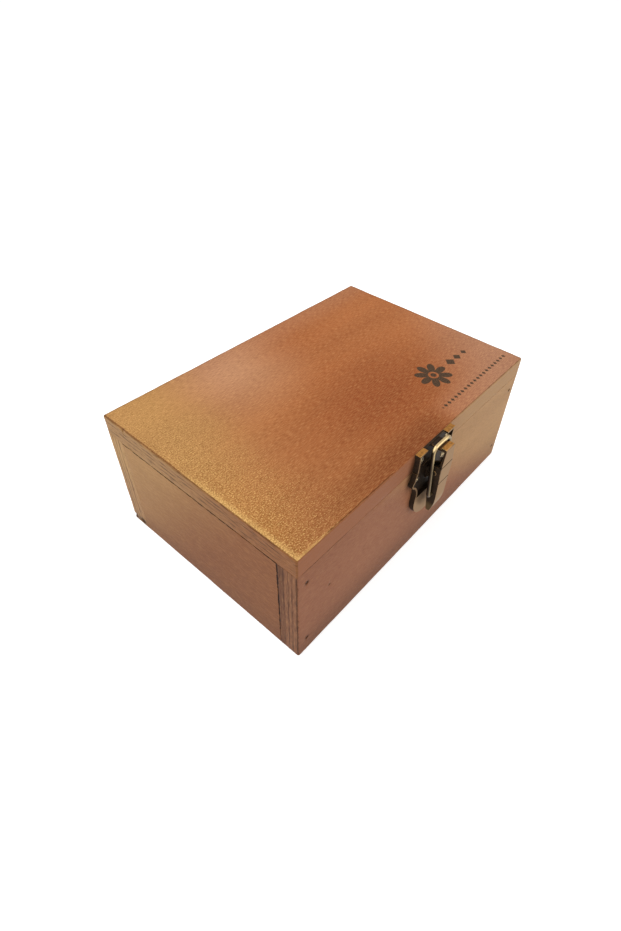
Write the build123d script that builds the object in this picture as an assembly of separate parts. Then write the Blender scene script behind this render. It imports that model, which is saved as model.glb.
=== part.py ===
from build123d import *
import math
import os

# Wooden gift box with a hinged lid and a toggle latch.
# Sizes are in millimetres. The origin is the centre of the underside.
# +X runs along the length, to the right as seen from the latch; +Y points to the hinges; +Z is up.

# Box
box_length = 150.0
box_width = 101.0
box_height = 60.0
lid_thickness = 9.0
wall_thickness = 9.0
bottom_thickness = 4.0
lid_seam = 0.2
edge_round = 0.6
bottom_fit = 0.1

# Brads that nail the front and back panels to the ends of the side panels
brad_radius = 0.7
brad_length = 22.0
brad_sink = 0.1
brad_low = 8.5
brad_high = 44.0
nail_fit = 0.02

# Screws
screw_head_height = 1.3
screw_head_radius = 1.9
screw_shank_radius = 0.9
screw_length = 7.0
screw_tip = 1.6
screw_hole_fit = 0.2
recess_width = 0.5
recess_depth = 0.7

# Pressed sheet of the latch plates
sheet = 0.8
plate_depth = 2.3
rim_width = 0.8
plate_seam = 0.15

# Catch plate on the lid
catch_top_half = 12.2
catch_waist_half = 11.8
catch_low_half = 11.9
notch_half = 6.9
catch_screw_across = 9.0
catch_screw_down = 4.6

# Hook of the catch plate, in front of the lid's edge
hook_front = 7.8
hook_face = 0.9
hook_lip = 2.3
hook_rise = 0.3
hook_top_half = 2.8
hook_low_half = 4.0
hook_round = 0.8
shelf_drop = 0.3

# Base plate on the front panel, heights measured down from the top of the box
base_top_half = 11.9
lobe_start = (12.9, 13.1)
lobe_peak = (13.8, 14.9)
lobe_end = (12.6, 16.6)
waist_middle = (10.3, 19.4)
waist_low = (9.5, 23.5)
base_round_radius = 9.8
base_round_down = 27.8
pad_down = 24.7
base_screw_across = 9.6
base_screw_down = 13.9

# Lever and its pivot
lever_pivot_out = 5.2
lever_pivot_down = 11.8
lever_top_down = 8.5
lever_half = 4.15
lever_shoulder_down = 12.0
lever_waist_half = 3.4
lever_waist_down = 25.0
lever_tip_half = 3.0
lever_tip_corner = 1.8
lever_tip_down = 35.4
lever_tip_in = 2.3
lever_back_out = 3.6
lever_back_rise = 1.0
lever_groove_down = 17.0
lever_groove_width = 0.35
lever_groove_depth = 0.35
lever_pin_radius = 0.7
lever_pin_head_radius = 1.15
lever_pin_head = 0.35
ear_thickness = 1.0
ear_nose_radius = 1.45
ear_gap = 0.15
ear_foot_top = 13.0
ear_foot_low = 18.5
running_fit = 0.05
swing_gap = 0.25

# Wire loop
wire_radius = 0.8
loop_half = 5.6
loop_corner = 2.2
loop_foot_corner = 1.3
loop_pivot_out = 5.5
loop_pivot_down = 24.0
loop_bar_out = 3.8
loop_bar_fit = 0.05
loop_foot_inside = 1.2

# Butt hinges
hinge_inset = 30.0
hinge_length = 20.0
leaf_height = 7.85
leaf_sheet = 0.8
leaf_round = 1.0
knuckle_radius = 1.5
knuckle_standoff = 0.1
hinge_pin_radius = 0.7
middle_knuckle = 7.4
knuckle_gap = 0.2
hinge_screw_across = 6.2
hinge_screw_up = 4.7
hinge_head_radius = 1.5
hinge_head_height = 0.7

# Worked-out places
front_y = -box_width / 2
back_y = box_width / 2
half_length = box_length / 2
hinge_places = {"left": hinge_inset - half_length, "right": half_length - hinge_inset}
side_length = box_width - 2 * wall_thickness
joint_z = box_height - lid_thickness
wall_height = joint_z - lid_seam
catch_height = lid_thickness - plate_seam
base_top_down = lid_thickness + lid_seam + plate_seam
hinge_axis_y = back_y + knuckle_radius + knuckle_standoff
hinge_axis_z = joint_z
shelf_top = -shelf_drop
bar_height = shelf_top + wire_radius + loop_bar_fit
screw_hole_radius = screw_shank_radius + screw_hole_fit
pin_hole_radius = lever_pin_radius + running_fit

# Local frames on the front face: across, up from the top of the box, and out of the face
front_view = Plane(origin=(0, front_y, box_height), x_dir=(1, 0, 0), z_dir=(0, -1, 0))
side_view = Plane(origin=(0, front_y, box_height), x_dir=(0, -1, 0), z_dir=(-1, 0, 0))
front_turn = Rot(90, 0, 0)
back_turn = Rot(-90, 0, 0)


def save(shape, node):
    """Write one node's solids as a STEP file."""
    export_step(shape, f"parts/{node}.step")


def save_group(solids, node):
    """Write separate like solids as one node."""
    save(Compound(children=solids), node)


def mirrored_face(right_edges):
    """A flat face from the edges of its right half, which start and end on the middle line."""
    half = Curve() + right_edges
    return make_face(half + mirror(half, about=Plane.YZ))


def prism(face, low, high, view=front_view):
    """The face, drawn in a view, made solid between two distances from the view's plane."""
    return extrude(view.offset(low) * face, amount=high - low)


def across_block(face, half_width):
    """The face, drawn in the side view, made solid by the same amount to the left and right."""
    return extrude(side_view * face, amount=half_width, both=True)


def screw(head_radius, head_height):
    """A round-head wood screw along Z, with the underside of its head at the origin."""
    dome_radius = (head_radius**2 + head_height**2) / (2 * head_height)
    upper = Pos(0, 0, head_height) * Box(4 * head_radius, 4 * head_radius, 2 * head_height)
    dome = (Pos(0, 0, head_height - dome_radius) * Sphere(dome_radius)) & upper
    cross = Box(1.2 * head_radius, recess_width, 2 * recess_depth)
    cross += Box(recess_width, 1.2 * head_radius, 2 * recess_depth)
    straight = screw_length - screw_tip
    shank = Pos(0, 0, -straight / 2) * Cylinder(screw_shank_radius, straight)
    tip = Pos(0, 0, -straight - screw_tip / 2) * Cone(0.1, screw_shank_radius, screw_tip)
    return dome - Pos(0, 0, head_height) * cross + shank + tip


def pilot():
    """The space that a screw's shank takes in wood, along Z from the origin down."""
    deep = screw_length + 0.5
    return Pos(0, 0, -deep / 2) * Cylinder(screw_shank_radius + nail_fit, deep)


# Where every screw sits: the point under its head, on the face it fastens to
catch_screw_spots = [
    Pos(side * catch_screw_across, front_y, box_height - catch_screw_down) * front_turn for side in (-1, 1)
]
base_screw_spots = [
    Pos(side * base_screw_across, front_y, box_height - base_screw_down) * front_turn for side in (-1, 1)
]
lid_leaf_spots = {
    name: [
        Pos(x + side * hinge_screw_across, back_y, hinge_axis_z + hinge_screw_up) * back_turn
        for side in (-1, 1)
    ]
    for name, x in hinge_places.items()
}
body_leaf_spots = {
    name: [
        Pos(x + side * hinge_screw_across, back_y, hinge_axis_z - hinge_screw_up) * back_turn
        for side in (-1, 1)
    ]
    for name, x in hinge_places.items()
}
brad_spots = [
    Pos(end * (half_length - wall_thickness / 2), 0, height) for end in (-1, 1) for height in (brad_low, brad_high)
]


def brad(face_y, turn, fit):
    """The four brads of one panel, or with a fit the holes that they stand in."""
    reach = Pos(0, face_y, 0) * turn * Pos(0, 0, -brad_sink - brad_length / 2)
    return [spot * reach * Cylinder(brad_radius + fit, brad_length) for spot in brad_spots]


def brad_holes(face_y, turn):
    """The four nail holes, open to the face."""
    sink = [
        spot * Pos(0, face_y, 0) * turn * Pos(0, 0, -brad_sink / 2) * Cylinder(brad_radius + nail_fit, brad_sink)
        for spot in brad_spots
    ]
    return brad(face_y, turn, nail_fit) + sink


# Lid, a plain slab of plywood with rounded edges
lid = Pos(0, 0, joint_z + lid_thickness / 2) * Box(box_length, box_width, lid_thickness)
lid = fillet(lid.edges(), edge_round)
for spot in catch_screw_spots + lid_leaf_spots["left"] + lid_leaf_spots["right"]:
    lid -= spot * pilot()
save(lid, "lid_panel")


def long_panel(face_y, inward, turn):
    """The front or the back panel: the full length of the box, its outer edges rounded."""
    middle_y = face_y + inward * wall_thickness / 2
    panel = Pos(0, middle_y, wall_height / 2) * Box(box_length, wall_thickness, wall_height)
    outer = panel.edges().filter_by(Axis.Z).filter_by(lambda edge: abs(edge.center().Y - face_y) < 0.1)
    low = panel.edges().filter_by(Axis.X).filter_by(
        lambda edge: abs(edge.center().Y - face_y) < 0.1 and edge.center().Z < 0.1
    )
    panel = fillet(outer + low, edge_round)
    for hole in brad_holes(face_y, turn):
        panel -= hole
    return panel


front_panel = long_panel(front_y, 1, front_turn)
for spot in base_screw_spots:
    front_panel -= spot * pilot()
save(front_panel, "front_panel")

back_panel = long_panel(back_y, -1, back_turn)
for spot in body_leaf_spots["left"] + body_leaf_spots["right"]:
    back_panel -= spot * pilot()
save(back_panel, "back_panel")

# Side panels, butted between the front and the back
for name, side in (("left", -1), ("right", 1)):
    panel = Pos(side * (half_length - wall_thickness / 2), 0, wall_height / 2) * Box(
        wall_thickness, side_length, wall_height
    )
    low = panel.edges().filter_by(Axis.Y).filter_by(
        lambda edge, side=side: edge.center().X * side > half_length - 0.1 and edge.center().Z < 0.1
    )
    panel = fillet(low, edge_round)
    for hole in brad_holes(front_y, front_turn) + brad_holes(back_y, back_turn):
        panel -= hole
    save(panel, f"{name}_side_panel")

# Bottom, set inside the four walls and flush with their lower edges
bottom = Pos(0, 0, bottom_thickness / 2) * Box(
    box_length - 2 * wall_thickness - 2 * bottom_fit, side_length - 2 * bottom_fit, bottom_thickness
)
save(bottom, "bottom_panel")

save_group(brad(front_y, front_turn, 0), "front_brads")
save_group(brad(back_y, back_turn, 0), "back_brads")

# Catch plate: a pressed tray with raised rims, open below and in the notch above its hook
catch_outline = mirrored_face(
    [
        Line((0, 0), (catch_top_half, 0)),
        ThreePointArc(
            (catch_top_half, 0), (catch_waist_half, -catch_height / 2), (catch_low_half, -catch_height)
        ),
        Line((catch_low_half, -catch_height), (0, -catch_height)),
    ]
)
catch_inside = offset(catch_outline, amount=-rim_width)
catch_inside += Pos(0, -rim_width) * Rectangle(2 * notch_half, 4 * rim_width)
catch_inside += Pos(0, -catch_height) * Rectangle(2 * (catch_waist_half - rim_width), 4 * rim_width)
catch_plate = prism(catch_outline, 0, plate_depth) - prism(catch_inside, sheet, plate_depth + 1)

# Hook: a shelf that the wire rests on, a folded lip in front of it and a skirt down to the lever
lever_corner = math.hypot(hook_front - lever_pivot_out, lever_pivot_down - lever_top_down)
swing = lever_corner + swing_gap
hook_back = hook_front - hook_face


def swing_down(out):
    """How far down the arc that clears the lever's top edge lies, at a distance out of the face."""
    return lever_pivot_down - math.sqrt(swing**2 - (out - lever_pivot_out) ** 2)


middle_out = (hook_front + hook_back) / 2
hook_profile = make_face(
    [
        Line((0, shelf_top), (hook_front - hook_lip, shelf_top)),
        Line((hook_front - hook_lip, shelf_top), (hook_front - hook_lip, hook_rise)),
        Line((hook_front - hook_lip, hook_rise), (hook_front - hook_round, hook_rise)),
        ThreePointArc(
            (hook_front - hook_round, hook_rise),
            (hook_front - hook_round * (1 - math.sqrt(0.5)), hook_rise - hook_round * (1 - math.sqrt(0.5))),
            (hook_front, hook_rise - hook_round),
        ),
        Line((hook_front, hook_rise - hook_round), (hook_front, -swing_down(hook_front))),
        ThreePointArc(
            (hook_front, -swing_down(hook_front)),
            (middle_out, -swing_down(middle_out)),
            (hook_back, -swing_down(hook_back)),
        ),
        Line((hook_back, -swing_down(hook_back)), (hook_back, shelf_top - sheet)),
        Line((hook_back, shelf_top - sheet), (0, shelf_top - sheet)),
        Line((0, shelf_top - sheet), (0, shelf_top)),
    ]
)
hook_taper = make_face(
    Polyline(
        (-hook_top_half, hook_rise),
        (hook_top_half, hook_rise),
        (hook_low_half, -lever_top_down),
        (-hook_low_half, -lever_top_down),
        close=True,
    )
)
hook = across_block(hook_profile, hook_low_half) & prism(hook_taper, 0, hook_front)
catch_plate += hook
for spot in catch_screw_spots:
    catch_plate -= spot * Cylinder(screw_hole_radius, 4 * sheet)
save(catch_plate, "catch_plate")


def seated(spots, thickness, head_radius, head_height):
    """Screws with their heads on sheet of this thickness."""
    return [spot * Pos(0, 0, thickness) * screw(head_radius, head_height) for spot in spots]


save_group(seated(catch_screw_spots, sheet, screw_head_radius, screw_head_height), "catch_screws")

# Base plate: a tray with side lobes for the screws, and a raised round pad below
base_outline = mirrored_face(
    [
        Line((0, -base_top_down), (base_top_half, -base_top_down)),
        Line((base_top_half, -base_top_down), (lobe_start[0], -lobe_start[1])),
        ThreePointArc(
            (lobe_start[0], -lobe_start[1]), (lobe_peak[0], -lobe_peak[1]), (lobe_end[0], -lobe_end[1])
        ),
        ThreePointArc(
            (lobe_end[0], -lobe_end[1]), (waist_middle[0], -waist_middle[1]), (waist_low[0], -waist_low[1])
        ),
        Line((waist_low[0], -waist_low[1]), (base_round_radius, -base_round_down)),
        ThreePointArc(
            (base_round_radius, -base_round_down),
            (
                base_round_radius * math.sqrt(0.5),
                -base_round_down - base_round_radius * math.sqrt(0.5),
            ),
            (0, -base_round_down - base_round_radius),
        ),
    ]
)
plate_low = base_round_down + base_round_radius
tray_middle = -(base_top_down + pad_down) / 2
tray_area = Pos(0, tray_middle) * Rectangle(4 * lobe_peak[0], pad_down - base_top_down)
hollow_top = pad_down + rim_width
hollow_area = Pos(0, -(hollow_top + plate_low) / 2) * Rectangle(4 * lobe_peak[0], plate_low - hollow_top)
base_inside = offset(base_outline, amount=-rim_width)
tray = (base_inside & tray_area) + Pos(0, -base_top_down) * Rectangle(
    2 * (base_top_half - rim_width), 4 * rim_width
)
latch_base = prism(base_outline, 0, plate_depth) - prism(tray, sheet, plate_depth + 1)
latch_base -= prism(base_inside & hollow_area, 0, plate_depth - sheet)

# Ears that carry the lever's pin, inside the lever's walls
pivot = (lever_pivot_out, -lever_pivot_down)
ear_outer = lever_waist_half - sheet - ear_gap
ear_face = make_hull(
    (Pos(*pivot) * Circle(ear_nose_radius)).edges()
    + Polyline(
        (sheet / 2, -ear_foot_top), (sheet / 2, -ear_foot_low), (sheet, -ear_foot_low)
    ).edges()
)
pin_bore = prism(Pos(*pivot) * Circle(pin_hole_radius), -2 * lever_half, 2 * lever_half, side_view)
for side in (-1, 1):
    ear = prism(ear_face, -ear_thickness / 2, ear_thickness / 2, side_view)
    latch_base += Pos(side * (ear_outer - ear_thickness / 2), 0, 0) * ear
latch_base -= pin_bore
for spot in base_screw_spots:
    latch_base -= spot * Cylinder(screw_hole_radius, 4 * sheet)
save(latch_base, "latch_base_plate")
save_group(seated(base_screw_spots, sheet, screw_head_radius, screw_head_height), "latch_base_screws")


def lever_outline():
    """The lever seen from the front: square shoulders, a waist and a blunt rounded tip."""
    tip_side = (lever_tip_half, lever_tip_corner - lever_tip_down)
    tip_end = (lever_tip_half - lever_tip_corner, -lever_tip_down)
    return mirrored_face(
        [
            Line((0, -lever_top_down), (lever_half, -lever_top_down)),
            Line((lever_half, -lever_top_down), (lever_half, -lever_shoulder_down)),
            ThreePointArc(
                (lever_half, -lever_shoulder_down),
                (
                    lever_waist_half + 0.2 * (lever_half - lever_waist_half),
                    -(lever_shoulder_down + lever_waist_down) / 2,
                ),
                (lever_waist_half, -lever_waist_down),
            ),
            Line((lever_waist_half, -lever_waist_down), tip_side),
            RadiusArc(tip_side, tip_end, lever_tip_corner),
            Line(tip_end, (0, -lever_tip_down)),
        ]
    )


def lever_side(inset, back, above):
    """The lever seen from the side: straight, then bending in towards its tip."""
    front = hook_front - inset
    bend_middle = (lever_waist_down + lever_tip_down) / 2
    top = -lever_top_down + above
    low = -lever_tip_down - above
    tip_front = front - lever_tip_in
    return make_face(
        [
            Line((back, top), (front, top)),
            Line((front, top), (front, -lever_waist_down)),
            ThreePointArc(
                (front, -lever_waist_down), (front - lever_tip_in / 4, -bend_middle), (tip_front, low)
            ),
            Line((tip_front, low), (back + lever_back_rise, low)),
            Line((back + lever_back_rise, low), (back, -lever_waist_down)),
            Line((back, -lever_waist_down), (back, top)),
        ]
    )


# Lever: a pressed channel, open behind and at its top
outline = lever_outline()
shell = across_block(lever_side(0, lever_back_out, 0), 2 * lever_half) & prism(outline, 0, hook_front)
inside = offset(outline, amount=-sheet) + Pos(0, -lever_top_down) * Rectangle(
    2 * (lever_half - sheet), 4 * sheet
)
hollow = across_block(lever_side(hook_face, 0, 1), 2 * lever_half) & prism(inside, 0, hook_front)
lever = shell - hollow
back_corners = lever.edges().filter_by(Axis.X).filter_by(
    lambda edge: abs(edge.center().Y - (front_y - lever_back_out)) < 0.1
    and abs(edge.center().Z - (box_height - lever_top_down)) < 0.1
)
lever = fillet(back_corners, lever_pivot_down - lever_top_down - lever_pin_radius)
groove = Pos(0, front_y - hook_front, box_height - lever_groove_down) * Box(
    4 * lever_half, 2 * lever_groove_depth, lever_groove_width
)
lever -= groove
loop_pivot = (loop_pivot_out, -loop_pivot_down)
foot_bore = Pos(*loop_pivot) * Circle(wire_radius + running_fit)
lever -= pin_bore
lever -= prism(foot_bore, -2 * lever_half, 2 * lever_half, side_view)
save(lever, "latch_lever")

# Pin through the ears and the lever, riveted over at both ends
pin_half = lever_half + running_fit
lever_pin = prism(Pos(*pivot) * Circle(lever_pin_radius), -pin_half, pin_half, side_view)
for side in (-1, 1):
    head = prism(Pos(*pivot) * Circle(lever_pin_head_radius), 0, lever_pin_head, side_view)
    lever_pin += Pos(side * (pin_half + lever_pin_head / 2) + lever_pin_head / 2, 0, 0) * head
save(lever_pin, "lever_pin")

# Wire loop: from a foot in the lever's wall up one arm, across the bar and down the other
loop_tilt = math.atan2(loop_pivot_out - loop_bar_out, bar_height + loop_pivot_down)
loop_length = math.hypot(loop_pivot_out - loop_bar_out, bar_height + loop_pivot_down)
foot_end = lever_waist_half - loop_foot_inside
loop_path = FilletPolyline(
    (-foot_end, 0),
    (-loop_half, 0),
    (-loop_half, loop_length),
    (loop_half, loop_length),
    (loop_half, 0),
    (foot_end, 0),
    radius=[loop_foot_corner, loop_corner, loop_corner, loop_foot_corner],
)
wire = sweep(Plane(origin=(-foot_end, 0, 0), z_dir=(-1, 0, 0)) * Circle(wire_radius), path=loop_path)
loop_place = Pos(0, front_y - loop_pivot_out, box_height - loop_pivot_down)
loop_turn = Rot(90 - math.degrees(loop_tilt), 0, 0)
save(loop_place * loop_turn * wire, "latch_loop")

# Butt hinges on the back, their barrels on the joint line
leaf_inner = lid_seam
clear_knuckle = knuckle_radius + knuckle_gap
outer_knuckle = (hinge_length - middle_knuckle) / 2 - knuckle_gap


def leaf(x, up, knuckles, cut_ranges):
    """A hinge leaf: a plate on the back face, cut back beside the other leaf's knuckles."""
    plate_top = back_y + leaf_sheet / 2
    middle = up * (leaf_inner + leaf_height) / 2
    plate = Pos(x, plate_top, hinge_axis_z + middle) * Box(
        hinge_length, leaf_sheet, leaf_height - leaf_inner
    )
    far = hinge_axis_z + up * leaf_height
    corners = plate.edges().filter_by(Axis.Y).filter_by(lambda edge: abs(edge.center().Z - far) < 0.1)
    plate = fillet(corners, leaf_round)
    for low, high in cut_ranges:
        plate -= Pos(x + (low + high) / 2, plate_top, hinge_axis_z) * Box(
            high - low, 2 * leaf_sheet, 2 * clear_knuckle
        )
    for low, high in knuckles:
        barrel = Cylinder(knuckle_radius, high - low)
        plate += Pos(x + (low + high) / 2, hinge_axis_y, hinge_axis_z) * Rot(0, 90, 0) * barrel
    bore = Cylinder(hinge_pin_radius + running_fit, 2 * hinge_length)
    return plate - Pos(x, hinge_axis_y, hinge_axis_z) * Rot(0, 90, 0) * bore


ends = hinge_length / 2
middle_range = (-middle_knuckle / 2, middle_knuckle / 2)
outer_ranges = [(-ends, -ends + outer_knuckle), (ends - outer_knuckle, ends)]
cut_for_middle = [(middle_range[0] - knuckle_gap, middle_range[1] + knuckle_gap)]
cut_for_outer = [
    (-ends - knuckle_gap, -ends + outer_knuckle + knuckle_gap),
    (ends - outer_knuckle - knuckle_gap, ends + knuckle_gap),
]
for name, x in hinge_places.items():
    body_leaf = leaf(x, -1, outer_ranges, cut_for_middle)
    lid_leaf = leaf(x, 1, [middle_range], cut_for_outer)
    for spot in body_leaf_spots[name]:
        body_leaf -= spot * Cylinder(screw_hole_radius, 4 * leaf_sheet)
    for spot in lid_leaf_spots[name]:
        lid_leaf -= spot * Cylinder(screw_hole_radius, 4 * leaf_sheet)
    save(body_leaf, f"{name}_hinge_body_leaf")
    save(lid_leaf, f"{name}_hinge_lid_leaf")
    pin = Pos(x, hinge_axis_y, hinge_axis_z) * Rot(0, 90, 0) * Cylinder(hinge_pin_radius, hinge_length)
    save(pin, f"{name}_hinge_pin")
    for part, spots in (("body", body_leaf_spots), ("lid", lid_leaf_spots)):
        screws = seated(spots[name], leaf_sheet, hinge_head_radius, hinge_head_height)
        save_group(screws, f"{name}_hinge_{part}_screws")
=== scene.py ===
import math

import bmesh
import bpy
from mathutils import Euler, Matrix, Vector, noise


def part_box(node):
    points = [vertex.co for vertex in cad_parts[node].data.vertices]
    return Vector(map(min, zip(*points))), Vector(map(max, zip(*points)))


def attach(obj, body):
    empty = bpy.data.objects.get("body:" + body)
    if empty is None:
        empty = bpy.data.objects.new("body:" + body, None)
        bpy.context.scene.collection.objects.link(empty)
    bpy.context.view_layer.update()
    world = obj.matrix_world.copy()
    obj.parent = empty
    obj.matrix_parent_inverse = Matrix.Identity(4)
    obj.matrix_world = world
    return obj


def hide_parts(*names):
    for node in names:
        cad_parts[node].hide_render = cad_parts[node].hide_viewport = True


# A stained plywood gift box with a hinged lid and a bronze toggle latch.
# Lengths are in metres, and MM makes them readable. +X is the length, -Y the latch, +Z up.
MM = 0.001
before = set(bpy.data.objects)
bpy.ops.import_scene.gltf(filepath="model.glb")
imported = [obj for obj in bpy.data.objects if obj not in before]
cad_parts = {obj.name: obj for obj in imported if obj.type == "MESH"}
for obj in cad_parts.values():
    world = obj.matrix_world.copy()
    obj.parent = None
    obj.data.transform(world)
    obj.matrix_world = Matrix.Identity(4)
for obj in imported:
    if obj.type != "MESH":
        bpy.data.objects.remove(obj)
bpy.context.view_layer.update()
bpy.context.scene.view_settings.view_transform = "Standard"


# Camera
# It stands to the left of the latch's side and looks steeply down on the near corner of the lid.
# The shift keeps the box where the picture has it, a little left of and above the middle.
camera_data = bpy.data.cameras.new("camera")
camera_data.lens = 21.07
camera_data.sensor_width = 36.0
camera_data.shift_x = -0.03175
camera_data.shift_y = -0.0152
camera_data.clip_start = 0.01
camera = bpy.data.objects.new("camera", camera_data)
camera.location = (-143.81 * MM, -117.07 * MM, 195.55 * MM)
camera.rotation_euler = Euler([math.radians(angle) for angle in (46.753, -2.506, -50.099)])
bpy.context.scene.collection.objects.link(camera)
bpy.context.scene.camera = camera


# Floor and light
# A plain white table top under a soft white surround, with large soft lamps above.
# The floor looks white to the camera and in reflections, and keeps the box's soft shadow.
def wire(tree, socket, value):
    """Give an input a number, a colour or another node's output."""
    if isinstance(value, bpy.types.NodeSocket):
        tree.links.new(value, socket)
    else:
        socket.default_value = value


def add(tree, kind, inputs, **settings):
    """A node with its settings, and its inputs by name or by place."""
    made = tree.nodes.new(kind)
    for key, value in settings.items():
        setattr(made, key, value)
    for key, value in inputs.items():
        wire(tree, made.inputs[key], value)
    return made


def calc(tree, operation, a, b=0.0, c=0.0):
    """The result of one sum."""
    return add(tree, "ShaderNodeMath", {0: a, 1: b, 2: c}, operation=operation).outputs[0]


FLOOR_GLOW = 0.57
floor_bm = bmesh.new()
bmesh.ops.create_grid(floor_bm, x_segments=4, y_segments=4, size=12.0)
floor_mesh = bpy.data.meshes.new("floor")
floor_bm.to_mesh(floor_mesh)
floor_bm.free()
floor = bpy.data.objects.new("floor", floor_mesh)
bpy.context.scene.collection.objects.link(floor)
floor_material = bpy.data.materials.new("table_white")
floor_material.use_nodes = True
tree = floor_material.node_tree
tree.nodes.clear()
rays = tree.nodes.new("ShaderNodeLightPath")
seen = calc(tree, "MAXIMUM", rays.outputs["Is Camera Ray"], rays.outputs["Is Glossy Ray"])
seen = calc(tree, "MAXIMUM", seen, rays.outputs["Is Transmission Ray"])
matt = add(tree, "ShaderNodeBsdfDiffuse", {"Color": (0.8, 0.8, 0.8, 1.0)})
glow_strength = calc(tree, "MULTIPLY", seen, FLOOR_GLOW)
glow = add(tree, "ShaderNodeEmission", {"Color": (1.0, 1.0, 1.0, 1.0), "Strength": glow_strength})
both = add(tree, "ShaderNodeAddShader", {0: matt.outputs[0], 1: glow.outputs[0]})
add(tree, "ShaderNodeOutputMaterial", {"Surface": both.outputs[0]})
floor_mesh.materials.append(floor_material)

WORLD_LIGHT = 0.56
world = bpy.data.worlds.new("surround")
bpy.context.scene.world = world
world.use_nodes = True
tree = world.node_tree
tree.nodes.clear()
rays = tree.nodes.new("ShaderNodeLightPath")
strength = calc(tree, "MULTIPLY_ADD", rays.outputs["Is Camera Ray"], 1.0 - WORLD_LIGHT, WORLD_LIGHT)
sky = add(tree, "ShaderNodeBackground", {"Color": (1.0, 1.0, 1.0, 1.0), "Strength": strength})
add(tree, "ShaderNodeOutputWorld", {"Surface": sky.outputs[0]})


def lamp(name, place, size, power):
    """A square soft lamp that faces the middle of the box's underside."""
    data = bpy.data.lights.new(name, "AREA")
    data.shape = "SQUARE"
    data.size = size
    data.energy = power
    made = bpy.data.objects.new(name, data)
    made.location = place
    made.rotation_euler = (-Vector(place)).to_track_quat("-Z", "Y").to_euler()
    bpy.context.scene.collection.objects.link(made)


lamp("lamp_above", (-0.25, 0.35, 0.95), 0.9, 5.0)
lamp("lamp_front", (0.45, -0.8, 0.55), 0.8, 3.6)
lamp("lamp_left", (-0.9, 0.1, 0.5), 0.8, 3.0)


# Lid
# One slab of 9 mm plywood, stained orange brown and lacquered, with hand-rounded top edges.
# The face veneer's grain runs along the length. The plies show as thin dark lines on its edges.
lid_low, lid_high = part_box("lid_panel")
half_length = lid_high.x
half_width = lid_high.y
top = lid_high.z


def colour(red, green, blue):
    """A colour from its 0 to 255 screen values."""
    parts = [channel / 255 for channel in (red, green, blue)]
    linear = [part / 12.92 if part <= 0.04045 else ((part + 0.055) / 1.055) ** 2.4 for part in parts]
    return (*linear, 1.0)


def mix(tree, amount, first, second):
    """Two colours mixed by an amount from 0 to 1."""
    made = tree.nodes.new("ShaderNodeMix")
    made.data_type = "RGBA"
    wire(tree, made.inputs[0], amount)
    wire(tree, made.inputs[6], first)
    wire(tree, made.inputs[7], second)
    return made.outputs[2]


def ease(tree, value, low, high, start=0.0, end=1.0):
    """A smooth step of value, from start at low to end at high."""
    inputs = {"Value": value, "From Min": low, "From Max": high, "To Min": start, "To Max": end}
    return add(tree, "ShaderNodeMapRange", inputs, interpolation_type="SMOOTHSTEP").outputs["Result"]


def times(tree, *values):
    """The product of masks and numbers."""
    total = values[0]
    for value in values[1:]:
        total = calc(tree, "MULTIPLY", total, value)
    return total


def speckle(tree, where, stretch, detail, rough=0.5):
    """Noise whose cells have the lengths 1 / stretch along X, Y and Z."""
    placed = add(tree, "ShaderNodeMapping", {"Vector": where, "Scale": stretch}).outputs[0]
    inputs = {"Vector": placed, "Scale": 1.0, "Detail": detail, "Roughness": rough}
    return add(tree, "ShaderNodeTexNoise", inputs).outputs["Fac"]


def wander(tree, value, where, stretch, detail, reach):
    """A value moved to and fro by slow noise, by up to half the reach each way."""
    drift = calc(tree, "SUBTRACT", speckle(tree, where, stretch, detail), 0.5)
    return calc(tree, "MULTIPLY_ADD", drift, reach, value)


def blob(tree, where, centre, reach):
    """1 at the centre, fading to 0 at an ellipsoid with this reach along X, Y and Z."""
    stretch = tuple(1.0 / length for length in reach)
    shift = tuple(-c / length for c, length in zip(centre, reach))
    inputs = {"Vector": where, "Scale": stretch, "Location": shift}
    placed = add(tree, "ShaderNodeMapping", inputs).outputs[0]
    size = add(tree, "ShaderNodeVectorMath", {0: placed}, operation="LENGTH").outputs["Value"]
    return ease(tree, size, 0.0, 1.0, 1.0, 0.0)


def split(tree, vector):
    """The X, Y and Z of a vector."""
    return add(tree, "ShaderNodeSeparateXYZ", {0: vector}).outputs[:]


def along(tree, place, slopes):
    """The sum of a place's coordinates, each times its slope."""
    total = 0.0
    for part, slope in zip(place, slopes):
        if slope:
            total = calc(tree, "MULTIPLY_ADD", part, slope, total)
    return total


def apart(tree, a, b):
    """How far apart two values are."""
    return calc(tree, "ABSOLUTE", calc(tree, "SUBTRACT", a, b))


def band(tree, value, middle, half, soft):
    """1 within half of the middle, fading to 0 over the soft width beyond."""
    return ease(tree, apart(tree, value, middle), half, half + soft, 1.0, 0.0)


def grid_lines(low, high, margins, step, close):
    """Where a slab's mesh is cut along one axis: evenly, closer at its rounded ends and at marks."""
    lines = {low, high}
    for start, direction, margin in ((low, 1, margins[0]), (high, -1, margins[1])):
        lines.update(start + direction * margin * share for share in (0.42, 0.73, 1.0, 1.5))
    for place, reach in close:
        lines.update(place + reach * share / 5 for share in range(-5, 6))
    count = max(1, round((high - low) / step))
    for index in range(1, count):
        place = low + (high - low) * index / count
        if min(abs(place - line) for line in lines) > step / 3:
            lines.add(place)
    return sorted(line for line in lines if low <= line <= high)


def finished(name, made):
    """A bmesh made into a smooth object of the scene."""
    for face in made.faces:
        face.smooth = True
    mesh = bpy.data.meshes.new(name)
    made.to_mesh(mesh)
    made.free()
    piece = bpy.data.objects.new(name, mesh)
    bpy.context.scene.collection.objects.link(piece)
    return piece


# How uneven the rounding of the edges is, as a share of it
WEAR = 0.35


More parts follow.
